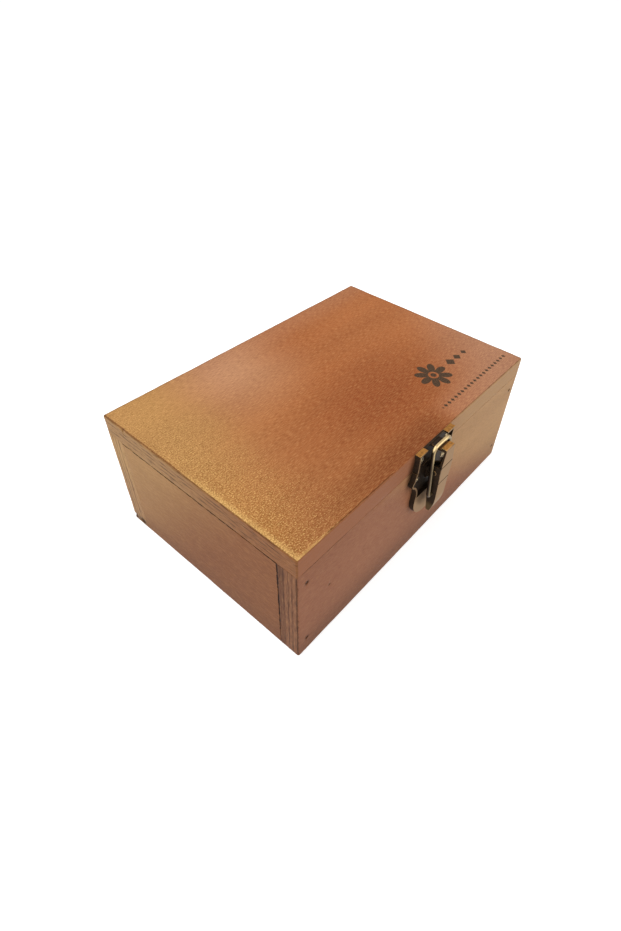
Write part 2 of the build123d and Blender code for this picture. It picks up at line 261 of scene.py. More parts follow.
def slab(name, low, high, margins, marks=(), step=2.5 * MM):
    """A plywood slab whose edges are rounded by a margin for each side, unevenly, with its marks.

    Margins are in the order -X, +X, -Y, +Y, -Z, +Z. A mark is its centre, its reach along each
    axis, its depth and the direction in which it is pressed. It is deepest over its inner half.
    """
    pairs = [(margins[2 * axis], margins[2 * axis + 1]) for axis in range(3)]
    cuts = []
    for axis in range(3):
        close = [(centre[axis], reach[axis]) for centre, reach, depth, inward in marks if not inward[axis]]
        cuts.append(grid_lines(low[axis], high[axis], pairs[axis], step, close))

    def place(corner):
        sharp = Vector(corner)
        uneven = 1.0 + WEAR * noise.noise(sharp / (9 * MM)) + 0.5 * WEAR * noise.noise(sharp / (2 * MM))
        kept, offset = [], []
        for axis in range(3):
            inner_low = low[axis] + pairs[axis][0] * uneven
            inner_high = high[axis] - pairs[axis][1] * uneven
            kept.append(min(max(sharp[axis], inner_low), inner_high))
            margin = pairs[axis][0 if sharp[axis] < kept[axis] else 1] * uneven
            offset.append((sharp[axis] - kept[axis]) / margin)
        size = max(1.0, math.sqrt(sum(part * part for part in offset)))
        point = Vector([kept[axis] + (sharp[axis] - kept[axis]) / size for axis in range(3)])
        for centre, reach, depth, inward in marks:
            away = math.sqrt(sum(((point[axis] - centre[axis]) / reach[axis]) ** 2 for axis in range(3)))
            if away < 1.0:
                slope = min(1.0, 2.0 * (1.0 - away))
                point += Vector(inward) * depth * (0.5 - 0.5 * math.cos(math.pi * slope))
        return point

    made = bmesh.new()
    found = {}

    def corner_at(key):
        if key not in found:
            found[key] = made.verts.new(place([cuts[axis][key[axis]] for axis in range(3)]))
        return found[key]

    last = [len(cut) - 1 for cut in cuts]
    for axis in range(3):
        u, v = [other for other in range(3) if other != axis]
        for end in (0, last[axis]):
            for i in range(last[u]):
                for j in range(last[v]):
                    ring = []
                    for step_u, step_v in ((0, 0), (1, 0), (1, 1), (0, 1)):
                        key = [0, 0, 0]
                        key[axis], key[u], key[v] = end, i + step_u, j + step_v
                        ring.append(corner_at(tuple(key)))
                    made.faces.new(ring)
    bmesh.ops.recalc_face_normals(made, faces=made.faces)
    return finished(name, made)


def dress(piece, material, body, node):
    """Give a piece its material, the body that it moves with and the node that it stands for."""
    piece.data.materials.clear()
    piece.data.materials.append(material)
    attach(piece, body)
    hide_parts(node)


def material_of(name):
    """An empty node material, its tree and the piece's own coordinates and normals."""
    made = bpy.data.materials.new(name)
    made.use_nodes = True
    made.node_tree.nodes.clear()
    own = made.node_tree.nodes.new("ShaderNodeTexCoord")
    return made, made.node_tree, own.outputs["Object"], own.outputs["Normal"]


def surface(tree, inputs):
    """The material's shader, with these inputs."""
    shader = add(tree, "ShaderNodeBsdfPrincipled", inputs)
    add(tree, "ShaderNodeOutputMaterial", {"Surface": shader.outputs[0]})


def sides_of(value, axis, others):
    """One stretch along an axis and another along the rest."""
    stretch = [others] * 3
    stretch[axis] = value
    return tuple(stretch)


DARK_PORE = colour(84, 40, 20)
PALE_FIBRE = colour(232, 180, 120)
PLY_LINE = colour(52, 27, 13)
PLY_LIGHT = colour(182, 136, 88)
JOINT_DARK = colour(40, 21, 11)
BARE_DARK = colour(186, 142, 100)
BARE_PALE = colour(214, 176, 132)
BARE_PORE = colour(140, 96, 62)
# The depths of the glue lines and dark cross plies in millimetres, how wide and how dark they are
PLIES = ((0.3, 0.04, 0.6), (2.5, 0.12, 0.8), (4.2, 0.08, 0.75), (6.3, 0.16, 0.7))
# How far those lines sway and how soft their edges are, in millimetres
PLY_SWAY = 1.3
PLY_SOFT = 0.35
SKIN = 0.8 * MM


def veneer(tree, where, grain, tone, pores, contrast):
    """A stain's tone with the face veneer's slow figure and its fine dark pores and pale fibres."""
    figure = speckle(tree, where, sides_of(10.0, grain, 75.0), 4.0, 0.6)
    streaks = speckle(tree, where, sides_of(100.0, grain, 1300.0), 3.0, 0.6)
    tone = mix(tree, ease(tree, figure, 0.36, 0.68, 0.0, 0.12), tone, DARK_PORE)
    tone = mix(tree, ease(tree, streaks, 0.52, 0.34, 0.0, 0.12 * contrast), tone, DARK_PORE)
    tone = mix(tree, ease(tree, pores, 0.54, 0.36, 0.0, 0.42 * contrast), tone, DARK_PORE)
    return mix(tree, ease(tree, pores, 0.48, 0.65, 0.0, 0.34 * contrast), tone, PALE_FIBRE)


def ply_edge(tree, where, layers, depth, tone, strength, plain):
    """The plies' edges: fibres along them, and broken dark lines at their depths from the face."""
    fibre = speckle(tree, where, sides_of(1700.0, layers, 240.0), 3.0, 0.65)
    tone = mix(tree, times(tree, ease(tree, fibre, 0.5, 0.32, 0.0, 0.45), strength), tone, PLY_LINE)
    tone = mix(tree, times(tree, ease(tree, fibre, 0.52, 0.7, 0.0, 0.35), strength), tone, PLY_LIGHT)
    depth = wander(tree, depth, where, sides_of(60.0, layers, 90.0), 3.0, PLY_SWAY)
    broken = speckle(tree, where, sides_of(900.0, layers, 120.0), 3.0, 0.6)
    dashes = ease(tree, broken, 0.4, 0.6, plain, 1.0)
    total = 0.0
    for middle, half, dark in PLIES:
        line = times(tree, band(tree, depth, middle, half, PLY_SOFT), dark)
        total = calc(tree, "MAXIMUM", line, total)
    return mix(tree, times(tree, total, dashes, strength), tone, PLY_LINE)


def skin(tree, place):
    """1 at the outside of the closed box, 0 from the skin's depth inwards."""
    depths = [calc(tree, "SUBTRACT", top, place[2])]
    for part, half in zip(place, (half_length, half_width)):
        depths.append(calc(tree, "SUBTRACT", half, calc(tree, "ABSOLUTE", part)))
    least = calc(tree, "MINIMUM", calc(tree, "MINIMUM", depths[0], depths[1]), depths[2])
    return ease(tree, least, SKIN, 0.75 * SKIN)


def joint_line(tree, where, place, seam):
    """How dark a joint is at a place: a ragged line along one axis, faded out at its ends."""
    axis, middle, half, strength, (reach_axis, low, high) = seam
    away = calc(tree, "DIVIDE", apart(tree, place[axis], middle), half)
    ragged = ease(tree, speckle(tree, where, (420.0, 420.0, 420.0), 3.0, 0.65), 0.32, 0.68, 0.6, 1.8)
    line = ease(tree, calc(tree, "SUBTRACT", ragged, away), -0.2, 0.5)
    starts = ease(tree, place[reach_axis], low - MM, low)
    ends = ease(tree, place[reach_axis], high, high + MM, 1.0, 0.0)
    return times(tree, line, starts, ends, skin(tree, place), strength)


def stained_wood(
    name, grain, layers, face_tone, edge_tone, faces_in, outer,
    seams=(), stains_and_shadows=(), marking=None, contrast=0.28, gloss=0.05, long_edge=0.25, plain=0.3,
):
    """Stained and lacquered plywood.

    grain is the axis of the face veneer's grain and layers the axis through the plies, 0 to 2.
    face_tone and edge_tone give the stain's colour at a place. faces_in is the sign of the
    direction in which the inner face looks, and outer the place of the outer face. long_edge is
    how plainly the plies show on edges that run along the grain, and plain how unbroken their
    lines are. A seam is the axis and place of a dark joint, its half width, its strength and the
    stretch that it covers. A stain is the centre, reach and strength of a dark spot, which is a
    real stain or a painted shadow.
    """
    made, tree, where, normal = material_of(name)
    facing = split(tree, normal)
    place = split(tree, where)
    pores = speckle(tree, where, sides_of(420.0, grain, 4300.0), 2.0)
    pebbles = speckle(tree, where, (2000.0, 2000.0, 2000.0), 2.0, 0.6)
    tone = veneer(tree, where, grain, face_tone(tree, where, pebbles), pores, contrast)
    if marking:
        tone = marking(tree, where, pebbles, tone)
    depth = calc(tree, "MULTIPLY", apart(tree, place[layers], outer), 1 / MM)
    ends = ease(tree, calc(tree, "ABSOLUTE", facing[grain]), 0.3, 0.7, long_edge)
    edge = ply_edge(tree, where, layers, depth, edge_tone(tree, where), ends, plain)
    side = ease(tree, calc(tree, "ABSOLUTE", facing[layers]), 0.85, 0.65)
    tone = mix(tree, side, tone, edge)
    # The inner face is bare veneer.
    looks_in = ease(tree, calc(tree, "MULTIPLY", facing[layers], faces_in), 0.7, 0.9)
    cloudy = speckle(tree, where, sides_of(30.0, grain, 260.0), 4.0, 0.6)
    bare = mix(tree, ease(tree, cloudy, 0.3, 0.7), BARE_DARK, BARE_PALE)
    bare = mix(tree, ease(tree, pores, 0.47, 0.32, 0.0, 0.4), bare, BARE_PORE)
    tone = mix(tree, looks_in, tone, bare)
    for seam in seams:
        tone = mix(tree, joint_line(tree, where, place, seam), tone, JOINT_DARK)
    for centre, reach, amount in stains_and_shadows:
        tone = mix(tree, times(tree, blob(tree, where, centre, reach), amount), tone, JOINT_DARK)
    rough = ease(tree, pebbles, 0.3, 0.7, 0.56, 0.42)
    height = calc(tree, "MULTIPLY_ADD", pebbles, 0.3, pores)
    inputs = {"Height": height, "Strength": 0.5 * contrast, "Distance": 0.08 * MM}
    relief = add(tree, "ShaderNodeBump", inputs).outputs[0]
    surface(tree, {"Base Color": tone, "Roughness": rough, "Normal": relief, "Specular IOR Level": gloss})
    return made


ROUND = 0.7 * MM
TIGHT = 0.06 * MM

SHEEN_GOLD_BACK = colour(183, 135, 80)
SHEEN_GOLD_FRONT = colour(174, 118, 58)
AMBER = colour(176, 116, 70)
ORANGE = colour(172, 103, 58)
RED_BROWN = colour(148, 79, 41)
ROSE = colour(186, 134, 98)
DUSTY = colour(172, 122, 93)
HIGHLIGHT_GOLD = colour(234, 192, 118)
DARK_ARRIS = colour(96, 50, 26)
FAR_ARRIS = colour(92, 70, 48)
FRONT_EDGE_BROWN = colour(116, 58, 28)
SPECK_BROWN = colour(126, 80, 36)
END_BROWN = colour(134, 86, 50)
END_TAN = colour(158, 119, 74)
LONG_BROWN = colour(146, 92, 60)
LONG_TAN = colour(169, 129, 86)
# The centres, reaches and strengths of the patches where the stain is redder
RED_PATCHES = (
    ((44 * MM, 19.5 * MM, top), (40 * MM, 3 * MM, 1.0), 0.3),
    ((22 * MM, -2 * MM, top), (22 * MM, 9 * MM, 1.0), 0.2),
    ((12 * MM, 34 * MM, top), (34 * MM, 22 * MM, 1.0), 0.3),
    ((0.0, -14 * MM, top), (26 * MM, 9 * MM, 1.0), 0.25),
    ((-50 * MM, -38 * MM, top), (32 * MM, 40 * MM, 1.0), 0.5),
)


def lid_wear_and_highlights(tree, place, x, pebbles, tone):
    """Painted glints on specks and painted highlights on the arrises at the left end, and dark arrises
    along the far edges.
    """
    # Specks near the left end, most towards the front corner, are painted as glints or dark.
    reach = ease(tree, place[1], 60 * MM, -10 * MM, 0.5)
    zone = times(tree, ease(tree, x, -74 * MM, -34 * MM, 1.0, 0.0), reach)
    glint_specks = times(tree, zone, ease(tree, pebbles, 0.52, 0.66, 0.0, 0.7))
    dark = times(tree, zone, ease(tree, pebbles, 0.49, 0.36, 0.0, 0.7))
    tone = mix(tree, dark, mix(tree, glint_specks, tone, HIGHLIGHT_GOLD), SPECK_BROWN)
    # Near the front corner the arrises carry a painted gold highlight. The left end's rim is dark, wider at
    # the back.
    left = ease(tree, place[0], -half_length + 3.2 * MM, -half_length + 0.7 * MM)
    near = ease(tree, place[1], 10 * MM, -16 * MM)
    sparkle = ease(tree, pebbles, 0.4, 0.58, 0.35, 1.0)
    tone = mix(tree, times(tree, left, near, sparkle, 0.65), tone, HIGHLIGHT_GOLD)
    front_rim = ease(tree, place[1], -half_width + 1.5 * MM, -half_width + 0.5 * MM)
    tone = mix(tree, times(tree, front_rim, ease(tree, x, -52 * MM, -68 * MM), 0.35), tone, HIGHLIGHT_GOLD)
    rim_width = ease(tree, place[1], -2 * MM, 12 * MM, 0.5 * MM, 0.85 * MM)
    from_end = calc(tree, "DIVIDE", calc(tree, "ADD", place[0], half_length), rim_width)
    tone = mix(tree, times(tree, ease(tree, from_end, 1.1, 0.6), 0.8), tone, DARK_ARRIS)
    back_rim = ease(tree, place[1], half_width - 1.2 * MM, half_width - 0.5 * MM)
    right_rim = ease(tree, place[0], half_length - 1.2 * MM, half_length - 0.5 * MM)
    return mix(tree, times(tree, calc(tree, "MAXIMUM", back_rim, right_rim), 0.5), tone, FAR_ARRIS)


def lid_tone(tree, where, pebbles):
    """A painted golden sheen at the left end, orange brown beyond, red in the middle and dusty at the right
    corner.
    """
    place = split(tree, where)
    x = wander(tree, place[0], where, (24.0, 24.0, 24.0), 4.0, 26 * MM)
    tone = mix(tree, ease(tree, x, -60 * MM, 5 * MM), AMBER, ORANGE)
    tone = mix(tree, blob(tree, where, (10 * MM, -22 * MM, top), (78 * MM, 44 * MM, 1.0)), tone, RED_BROWN)
    tone = mix(tree, blob(tree, where, (-24 * MM, 38 * MM, top), (46 * MM, 42 * MM, 1.0)), tone, ROSE)
    for centre, reach, amount in RED_PATCHES:
        tone = mix(tree, times(tree, blob(tree, where, centre, reach), amount), tone, RED_BROWN)
    corner = along(tree, place, (0.75, -0.65, 0.0))
    tone = mix(tree, ease(tree, corner, 36 * MM, 80 * MM), tone, DUSTY)
    tone = mix(tree, ease(tree, place[1], 34 * MM, 50 * MM, 0.0, 0.4), tone, DUSTY)
    dusty_front = times(tree, ease(tree, place[0], 8 * MM, 24 * MM), 0.5)
    tone = mix(tree, times(tree, ease(tree, place[1], -34 * MM, -48 * MM), dusty_front), tone, DUSTY)
    # The painted sheen reaches further in at the back than at the front.
    sheen_line = calc(tree, "MULTIPLY_ADD", place[1], -0.3, x)
    painted_light_gold = mix(tree, ease(tree, place[1], -48 * MM, 20 * MM), SHEEN_GOLD_FRONT, SHEEN_GOLD_BACK)
    sheen_amount = ease(tree, sheen_line, -74 * MM, -40 * MM, 1.0, 0.0)
    tone = mix(tree, sheen_amount, tone, painted_light_gold)
    # The stain is darker along the front edge.
    from_left = ease(tree, place[0], -70 * MM, -10 * MM, 0.35)
    front_darkening = times(tree, ease(tree, place[0], 22 * MM, 4 * MM), from_left)
    front_darkening = times(tree, ease(tree, place[1], -34 * MM, -47 * MM), front_darkening, 0.75)
    tone = mix(tree, front_darkening, tone, FRONT_EDGE_BROWN)
    return lid_wear_and_highlights(tree, place, x, pebbles, tone)


def lid_edge_tone(tree, where):
    """The left end's edge goes from brown to tan, and the others are like the front panel."""
    place = split(tree, where)
    end = mix(tree, ease(tree, place[1], -40 * MM, 30 * MM), END_BROWN, END_TAN)
    long_side = mix(tree, ease(tree, place[0], -4 * MM, 26 * MM), LONG_BROWN, LONG_TAN)
    return mix(tree, ease(tree, place[0], -half_length + 0.3 * MM, -half_length + 0.8 * MM), end, long_side)


# A painted shadow darkens the wood beside the latch's left side, on the lid's edge and the front panel.
latch_painted_shadow = ((-12.2 * MM, -half_width, top - 10 * MM), (5.2 * MM, 2 * MM, 13 * MM), 0.85)


MARK_CENTRE = (35 * MM, -28 * MM)
MARK_RADIUS = 8.5 * MM
PETALS = 8
# How far the lozenges are from the rosette's centre, and half their size
LOZENGES = ((14.0 * MM, 2.6 * MM), (19.6 * MM, 2.1 * MM), (25.2 * MM, 1.6 * MM))
BORDER_Y = -43.3 * MM
BORDER_FROM = 18 * MM
BORDER_MIDDLE = 44.5 * MM
BORDER_HALF = 26.2 * MM
BORDER_PITCH = 2.6 * MM
BURNT_DARK = colour(50, 42, 32)
BURNT_PALE = colour(82, 66, 50)


def lozenge(tree, across, up, half_across, half_up):
    """1 inside a lozenge, from the distances to its centre."""
    size = calc(tree, "ADD", calc(tree, "DIVIDE", across, half_across), calc(tree, "DIVIDE", up, half_up))
    return ease(tree, size, 0.9, 1.08, 1.0, 0.0)


def burnt_ornament(tree, where, pebbles, tone):
    """A plain eight-petal rosette, three lozenges beside it and a border of small ones, burnt in."""
    place = split(tree, where)
    u = calc(tree, "SUBTRACT", place[0], MARK_CENTRE[0])
    v = calc(tree, "SUBTRACT", place[1], MARK_CENTRE[1])
    radius = calc(tree, "SQRT", calc(tree, "ADD", times(tree, u, u), times(tree, v, v)))
    turn = calc(tree, "MULTIPLY", calc(tree, "ARCTAN2", v, u), PETALS / 2)
    petal = calc(tree, "POWER", calc(tree, "ABSOLUTE", calc(tree, "COSINE", turn)), 0.7)
    reach = calc(tree, "MULTIPLY_ADD", petal, 0.62 * MARK_RADIUS, 0.38 * MARK_RADIUS)
    short = calc(tree, "SUBTRACT", reach, radius)
    shape = ease(tree, short, -0.1 * MM, 0.15 * MM)
    shape = calc(tree, "MULTIPLY", shape, ease(tree, radius, 0.26 * MARK_RADIUS, 0.3 * MARK_RADIUS))
    eye = ease(tree, radius, 0.14 * MARK_RADIUS, 0.18 * MARK_RADIUS, 1.0, 0.0)
    shape = calc(tree, "MAXIMUM", shape, eye)
    for beside, size in LOZENGES:
        across = apart(tree, u, beside)
        up = calc(tree, "ABSOLUTE", v)
        shape = calc(tree, "MAXIMUM", shape, lozenge(tree, across, up, size, size))
    across = calc(tree, "PINGPONG", calc(tree, "SUBTRACT", place[0], BORDER_FROM), BORDER_PITCH / 2)
    up = apart(tree, place[1], BORDER_Y)
    row = lozenge(tree, across, up, 0.85 * MM, 1.1 * MM)
    row = calc(tree, "MULTIPLY", row, band(tree, place[0], BORDER_MIDDLE, BORDER_HALF, 0.2 * MM))
    shape = calc(tree, "MAXIMUM", shape, row)
    faces_up = ease(tree, place[2], top - 0.5 * MM, top - 0.3 * MM)
    burnt = mix(tree, ease(tree, pebbles, 0.35, 0.65), BURNT_DARK, BURNT_PALE)
    return mix(tree, times(tree, shape, faces_up, 0.93), tone, burnt)


nick = ((-half_length, 37.9 * MM, top), (1.4 * MM, 0.6 * MM, 1.8 * MM), 0.6 * MM, (1.0, 0.0, 0.0))
lid = slab("lid", lid_low, lid_high, (ROUND, ROUND, ROUND, ROUND, TIGHT, ROUND), [nick])
lid_seams = (
    (1, -half_width + 0.5 * MM, 0.16 * MM, 0.5, (0, -60 * MM, -26 * MM)),
    (1, -half_width + 0.35 * MM, 0.13 * MM, 0.45, (0, 14 * MM, 74 * MM)),
)
lid_stains_and_shadow = ((nick[0], (1.6 * MM, 0.7 * MM, 1.5 * MM), 0.9), latch_painted_shadow)
lid_wood = stained_wood(
    "lid_wood", 0, 2, lid_tone, lid_edge_tone, -1.0, top, lid_seams, lid_stains_and_shadow, burnt_ornament,
    contrast=0.52, gloss=0.07, long_edge=0.12, plain=0.0,
)
dress(lid, lid_wood, "lid", "lid_panel")


# Front and back panels
# They run the full length of the box, so their plywood ends show beside the side panels.
# They are glued and nailed to the ends of the side panels with four brads each.
NEARLY_SHUT = 0.14 * MM
BRAD_HOLE = 0.85 * MM
BRAD_RADIUS = 0.7 * MM
BRAD_RING = 1.7 * MM
LOWER_SHADE = colour(96, 60, 42)
DUSK_LEFT = colour(143, 92, 66)
DUSK_RIGHT = colour(150, 98, 70)
FRONT_SHEEN_TAN = colour(177, 136, 92)
NEAR_PLIES_AND_SHADE = (colour(128, 84, 56), colour(104, 64, 40))
FAR_PLIES = (colour(162, 122, 82), colour(177, 138, 90))


def front_tone(tree, where, pebbles):
    """Pinkish brown at the left and a painted tan sheen at the right, parted by a soft slanting line."""
    place = split(tree, where)
    slant = along(tree, place, (1.0, 0.0, 1.7))
    line = wander(tree, slant, where, (30.0, 30.0, 30.0), 3.0, 18 * MM)
    dusk = mix(tree, ease(tree, place[0], -70 * MM, -30 * MM), DUSK_LEFT, DUSK_RIGHT)
    tone = mix(tree, ease(tree, line, 46 * MM, 94 * MM), dusk, FRONT_SHEEN_TAN)
    # Painted shade darkens the lower part, most at the left.
    from_right = ease(tree, place[0], 75 * MM, 0.0, 0.3)
    low = times(tree, ease(tree, place[2], 20 * MM, 0.0, 0.0, 0.5), from_right)
    return mix(tree, low, tone, LOWER_SHADE)


def panel_edge_tone(tree, where):
    """The plies of a panel's end, tan at the back and brown at the front, with painted shade on the front
    one by its inner face.
    """
    place = split(tree, where)
    near = mix(tree, ease(tree, place[1], -45.5 * MM, -42.5 * MM), *NEAR_PLIES_AND_SHADE)
    far = mix(tree, ease(tree, place[2], 10 * MM, 45 * MM), *FAR_PLIES)
    return mix(tree, ease(tree, place[1], -40 * MM, 40 * MM), near, far)


brads_low, brads_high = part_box("front_brads")
brad_places = []
for x, turn_in in ((brads_low.x, BRAD_RADIUS), (brads_high.x, -BRAD_RADIUS)):
    for z, turn_up in ((brads_low.z, BRAD_RADIUS), (brads_high.z, -BRAD_RADIUS)):
        brad_places.append((x + turn_in, z + turn_up))


def brad_marks(face_y, inward):
    """The holes over a panel's four brads."""
    reach = (BRAD_HOLE, 1.5 * BRAD_HOLE, BRAD_HOLE)
    return [((x, face_y, z), reach, 0.4 * MM, (0.0, inward, 0.0)) for x, z in brad_places]


def brad_stains(face_y):
    """The dark rings round a panel's four brads."""
    reach = (BRAD_RING, BRAD_RING, BRAD_RING)
    return [((x, face_y, z), reach, 0.85) for x, z in brad_places]


front_low, front_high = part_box("front_panel")
front_high.z += NEARLY_SHUT
dent = ((-58.7 * MM, front_low.y, 29.6 * MM), (0.7 * MM, MM, 0.5 * MM), 0.25 * MM, (0.0, 1.0, 0.0))
front_marks = brad_marks(front_low.y, 1.0) + [dent]
front_margins = (ROUND, ROUND, ROUND, 0.22 * MM, ROUND, TIGHT)
front = slab("front", front_low, front_high, front_margins, front_marks)
front_seams = (
    (2, front_high.z, 0.12 * MM, 0.6, (0, -72 * MM, -50 * MM)),
    (1, front_high.y, 0.36 * MM, 0.95, (2, 16 * MM, 50 * MM)),
    (1, front_low.y + 0.5 * MM, 0.28 * MM, 0.45, (2, 2 * MM, 50 * MM)),
)
front_stains_and_shadows = brad_stains(front_low.y) + [
    (dent[0], (1.1 * MM, MM, 0.9 * MM), 0.7),
    # A painted shadow on the front panel's end near its top, by the joint.
    ((-half_length, -43.2 * MM, 47 * MM), (3 * MM, 2.6 * MM, 8 * MM), 0.25),
    latch_painted_shadow,
]
front_wood = stained_wood(
    "front_wood", 0, 1, front_tone, panel_edge_tone, 1.0, front_low.y, front_seams, front_stains_and_shadows
)
dress(front, front_wood, "box", "front_panel")

back_low, back_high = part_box("back_panel")
back_high.z += NEARLY_SHUT
chips = []
for y, z, size in ((49.6 * MM, 2.2 * MM, 1.5 * MM), (43.9 * MM, 2.4 * MM, 2.0 * MM)):
    chips.append(((-half_length, y, z), (2 * MM, size, 1.6 * MM), 0.4 * MM, (1.0, 0.0, 0.0)))
back_marks = brad_marks(back_high.y, -1.0) + chips
back = slab("back", back_low, back_high, (ROUND, ROUND, TIGHT, ROUND, ROUND, TIGHT), back_marks)
back_stains = brad_stains(back_high.y) + [(chip[0], (5 * MM, 4.2 * MM, 3.4 * MM), 1.0) for chip in chips]
back_wood = stained_wood(
    "back_wood", 0, 1, front_tone, panel_edge_tone, -1.0, back_high.y, stains_and_shadows=back_stains
)
dress(back, back_wood, "box", "back_panel")


# Side panels
# Two shorter boards butted between the front and the back, their grain along the width.
# Their top edges sit a hair lower, so a dark line shows under the lid between the two end strips.
SIDE_TOP = 0.34 * MM
SIDE_BROWN = colour(129, 81, 50)
SIDE_SHEEN_TAN = colour(166, 126, 80)


def side_tone(tree, where, pebbles):
    """A painted tan sheen at the upper back, brown at the lower front."""
    place = split(tree, where)
    slant = along(tree, place, (0.0, 1.0, 0.92))
    line = wander(tree, slant, where, (30.0, 30.0, 30.0), 3.0, 16 * MM)
    tone = mix(tree, ease(tree, line, 12 * MM, 78 * MM), SIDE_BROWN, SIDE_SHEEN_TAN)
    # Painted shade darkens the lower part.
    low = ease(tree, place[2], 18 * MM, 0.0, 0.0, 0.35)
    return mix(tree, low, tone, LOWER_SHADE)


for name, sign in (("left", -1.0), ("right", 1.0)):
    low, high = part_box(f"{name}_side_panel")
    ends = (ROUND, TIGHT) if sign < 0 else (TIGHT, ROUND)
    side = slab(f"{name}_side", low, high, (*ends, 0.3 * MM, 0.12 * MM, ROUND, SIDE_TOP))
    outer = low.x if sign < 0 else high.x
    seams = (
        (2, high.z, 0.3 * MM, 0.95, (1, -80 * MM, 80 * MM)),
        (1, low.y, 0.3 * MM, 0.95, (2, 10 * MM, 51 * MM)),
        (1, high.y, 0.06 * MM, 0.35, (2, 0.0, 51 * MM)),
    )
    wood = stained_wood(f"{name}_side_wood", 1, 0, side_tone, panel_edge_tone, -sign, outer, seams)
    dress(side, wood, "box", f"{name}_side_panel")


# Bottom
# A thin bare plywood board set inside the four walls, flush with their lower edges.
# It is glued in, so only a fine joint shows all round it.
BOTTOM_DARK = colour(170, 128, 88)
BOTTOM_TAN = colour(188, 146, 104)
BOTTOM_PALE = colour(214, 176, 130)


def bare_tone(tree, where, pebbles):
    """Bare veneer, clouded along its grain."""
    drift = speckle(tree, where, (18.0, 60.0, 60.0), 4.0)
    return mix(tree, drift, BOTTOM_TAN, BOTTOM_PALE)


def bare_edge(tree, where):
    """Bare plies."""
    return mix(tree, 0.5, BOTTOM_TAN, BOTTOM_DARK)


bottom_low, bottom_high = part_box("bottom_panel")
bottom = slab("bottom", bottom_low, bottom_high, (0.2 * MM,) * 6, step=4 * MM)
bottom_wood = stained_wood("bottom_wood", 0, 2, bare_tone, bare_edge, 1.0, bottom_low.z)
dress(bottom, bottom_wood, "box", "bottom_panel")


# Latch plates, lever and hinge leaves
# Brass-plated steel sheet, pressed and folded, with an antique finish.
# It is dark in its hollows and rubbed bright on raised faces and edges. Its walls are painted
# dark as shade, its front faces painted lighter as lit and its tops painted gold as lit from above.
BRONZE_DARK = colour(34, 22, 12)
BRONZE_MID = colour(70, 48, 28)
BRONZE_RUBBED = colour(133, 107, 81)
BRONZE_EDGE = colour(158, 122, 76)
BRONZE_LIT_GOLD = colour(194, 134, 68)
BRONZE_GLINT = colour(255, 226, 150)
BRONZE_SHADED_OLIVE = colour(100, 82, 54)
GROOVES_DOWN = (8.44 * MM, 17.0 * MM)
EARS_FROM = 7.1 * MM


def proud(distance):
    """The place on Y of what stands this far out in front of the front panel."""
    return -half_width - distance


